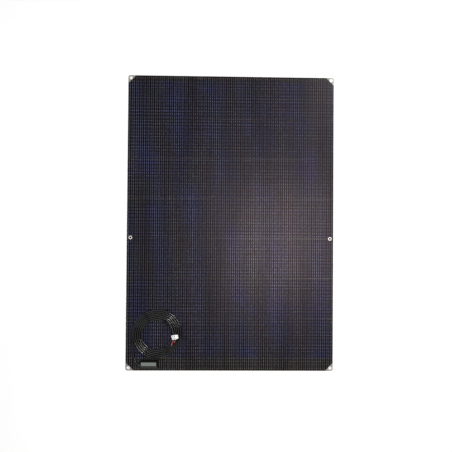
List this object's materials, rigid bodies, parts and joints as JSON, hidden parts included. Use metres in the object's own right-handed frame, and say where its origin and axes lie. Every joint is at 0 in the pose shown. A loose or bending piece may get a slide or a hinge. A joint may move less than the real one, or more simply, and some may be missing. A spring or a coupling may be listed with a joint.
{
  "type": "flexible solar sheet",
  "caption": "Thin dark solar laminate on an aluminium sheet with eyelets at corners and sides, a small bevelled junction box and a coiled two-core cable with a terminal block.",
  "frame": {"origin": "centre of the flat back face, under the sheet's middle", "axes": "+X to the right and +Y to the top edge as seen from the cell side, +Z out of the cell side"},
  "size_m": [0.66, 0.941, 0.0213],
  "materials": {
    "plate": "mill-finish aluminium sheet with a fine rolled grain",
    "film": "pressure-cured adhesive film",
    "insulation": "black polyester insulation film",
    "encapsulant": "cured encapsulant, dark behind and clear in front",
    "silicon": "dark blue-black back-contact silicon",
    "tinned_copper": "tinned copper foil",
    "front_skin": "embossed fluoropolymer over dark cells, satin",
    "eyelet_metal": "nickel-plated, polished",
    "box_plastic": "black glass-filled plastic, finely textured",
    "seal_rubber": "soft black rubber",
    "plate_label": "blank greenish grey plate, satin",
    "diode_body": "moulded epoxy with a pale cathode band",
    "sheath": "black cable sheath, semi-gloss",
    "red_insulation": "red core insulation",
    "black_insulation": "black core insulation",
    "copper": "bare stranded copper",
    "block_plastic": "milky translucent plastic",
    "brass": "turned brass",
    "screw_steel": "zinc-plated steel",
    "tie_plastic": "black nylon"
  },
  "bodies": {
    "panel": {"backing_sheet": "plate", "rear_adhesive_film": "film", "insulation_film": "insulation", "rear_encapsulant": "encapsulant", "cell_string_1": "silicon", "cell_string_2": "silicon", "cell_string_3": "silicon", "cell_string_4": "silicon", "cell_string_5": "silicon", "cell_interconnects": "tinned_copper", "string_bus_ribbons": "tinned_copper", "positive_lead_ribbon": "tinned_copper", "negative_lead_ribbon": "tinned_copper", "front_encapsulant": "encapsulant", "front_sheet": "front_skin", "corner_eyelets": "eyelet_metal", "corner_eyelet_washers": "eyelet_metal", "side_eyelets": "eyelet_metal", "side_eyelet_washers": "eyelet_metal", "box_bond_pad": "film", "junction_box_base": "box_plastic", "lid_gasket": "seal_rubber", "terminal_carrier": "box_plastic", "terminal_bar_positive": "tinned_copper", "terminal_bar_negative": "tinned_copper", "bypass_diode": "diode_body", "diode_leads": "tinned_copper", "box_core_positive": "red_insulation", "box_core_negative": "black_insulation", "strain_relief_boot": "seal_rubber", "cable_lead": "sheath", "cable_coil": "sheath", "cable_tail": "sheath", "cable_ties": "tie_plastic", "core_sleeve": "sheath", "red_core": "red_insulation", "black_core": "black_insulation", "core_conductors": "copper", "terminal_block_housing": "block_plastic", "terminal_block_inserts": "brass", "red_pigtail": "red_insulation", "black_pigtail": "black_insulation", "pigtail_ferrules": "tinned_copper"},
    "box_lid": {"junction_box_lid": "box_plastic", "rating_plate": "plate_label"},
    "wire_clamp_1": {"wire_clamp_1": "screw_steel"},
    "clamp_screw_1": {"clamp_screw_1": "screw_steel"},
    "wire_clamp_2": {"wire_clamp_2": "screw_steel"},
    "clamp_screw_2": {"clamp_screw_2": "screw_steel"},
    "wire_clamp_3": {"wire_clamp_3": "screw_steel"},
    "clamp_screw_3": {"clamp_screw_3": "screw_steel"},
    "wire_clamp_4": {"wire_clamp_4": "screw_steel"},
    "clamp_screw_4": {"clamp_screw_4": "screw_steel"}
  },
  "joints": [
    {"name": "box_lid_lift", "type": "slide", "parent": "panel", "child": "box_lid", "axis": [0, 0, 1], "range_m": [0, 0.015]},
    {"name": "clamp_1_lift", "type": "slide", "parent": "panel", "child": "wire_clamp_1", "axis": [0, 0, 1], "range_m": [0, 0.0013]},
    {"name": "screw_1_turn", "type": "hinge", "parent": "wire_clamp_1", "child": "clamp_screw_1", "pos_m": [-0.18049, -0.36067, 0.0186], "axis": [0, 0, 1], "range_deg": [0, 936.5]},
    {"name": "clamp_2_lift", "type": "slide", "parent": "panel", "child": "wire_clamp_2", "axis": [0, 0, 1], "range_m": [0, 0.0013]},
    {"name": "screw_2_turn", "type": "hinge", "parent": "wire_clamp_2", "child": "clamp_screw_2", "pos_m": [-0.17904, -0.36751, 0.0186], "axis": [0, 0, 1], "range_deg": [0, 936.5]},
    {"name": "clamp_3_lift", "type": "slide", "parent": "panel", "child": "wire_clamp_3", "axis": [0, 0, 1], "range_m": [0, 0.0013]},
    {"name": "screw_3_turn", "type": "hinge", "parent": "wire_clamp_3", "child": "clamp_screw_3", "pos_m": [-0.17462, -0.35942, 0.0186], "axis": [0, 0, 1], "range_deg": [0, 936.5]},
    {"name": "clamp_4_lift", "type": "slide", "parent": "panel", "child": "wire_clamp_4", "axis": [0, 0, 1], "range_m": [0, 0.0013]},
    {"name": "screw_4_turn", "type": "hinge", "parent": "wire_clamp_4", "child": "clamp_screw_4", "pos_m": [-0.17317, -0.36627, 0.0186], "axis": [0, 0, 1], "range_deg": [0, 936.5]}
  ],
  "couplings": [
    {"joint": "screw_1_turn", "follows": "clamp_1_lift", "rad_per_m": 12566},
    {"joint": "screw_2_turn", "follows": "clamp_2_lift", "rad_per_m": 12566},
    {"joint": "screw_3_turn", "follows": "clamp_3_lift", "rad_per_m": 12566},
    {"joint": "screw_4_turn", "follows": "clamp_4_lift", "rad_per_m": 12566}
  ]
}
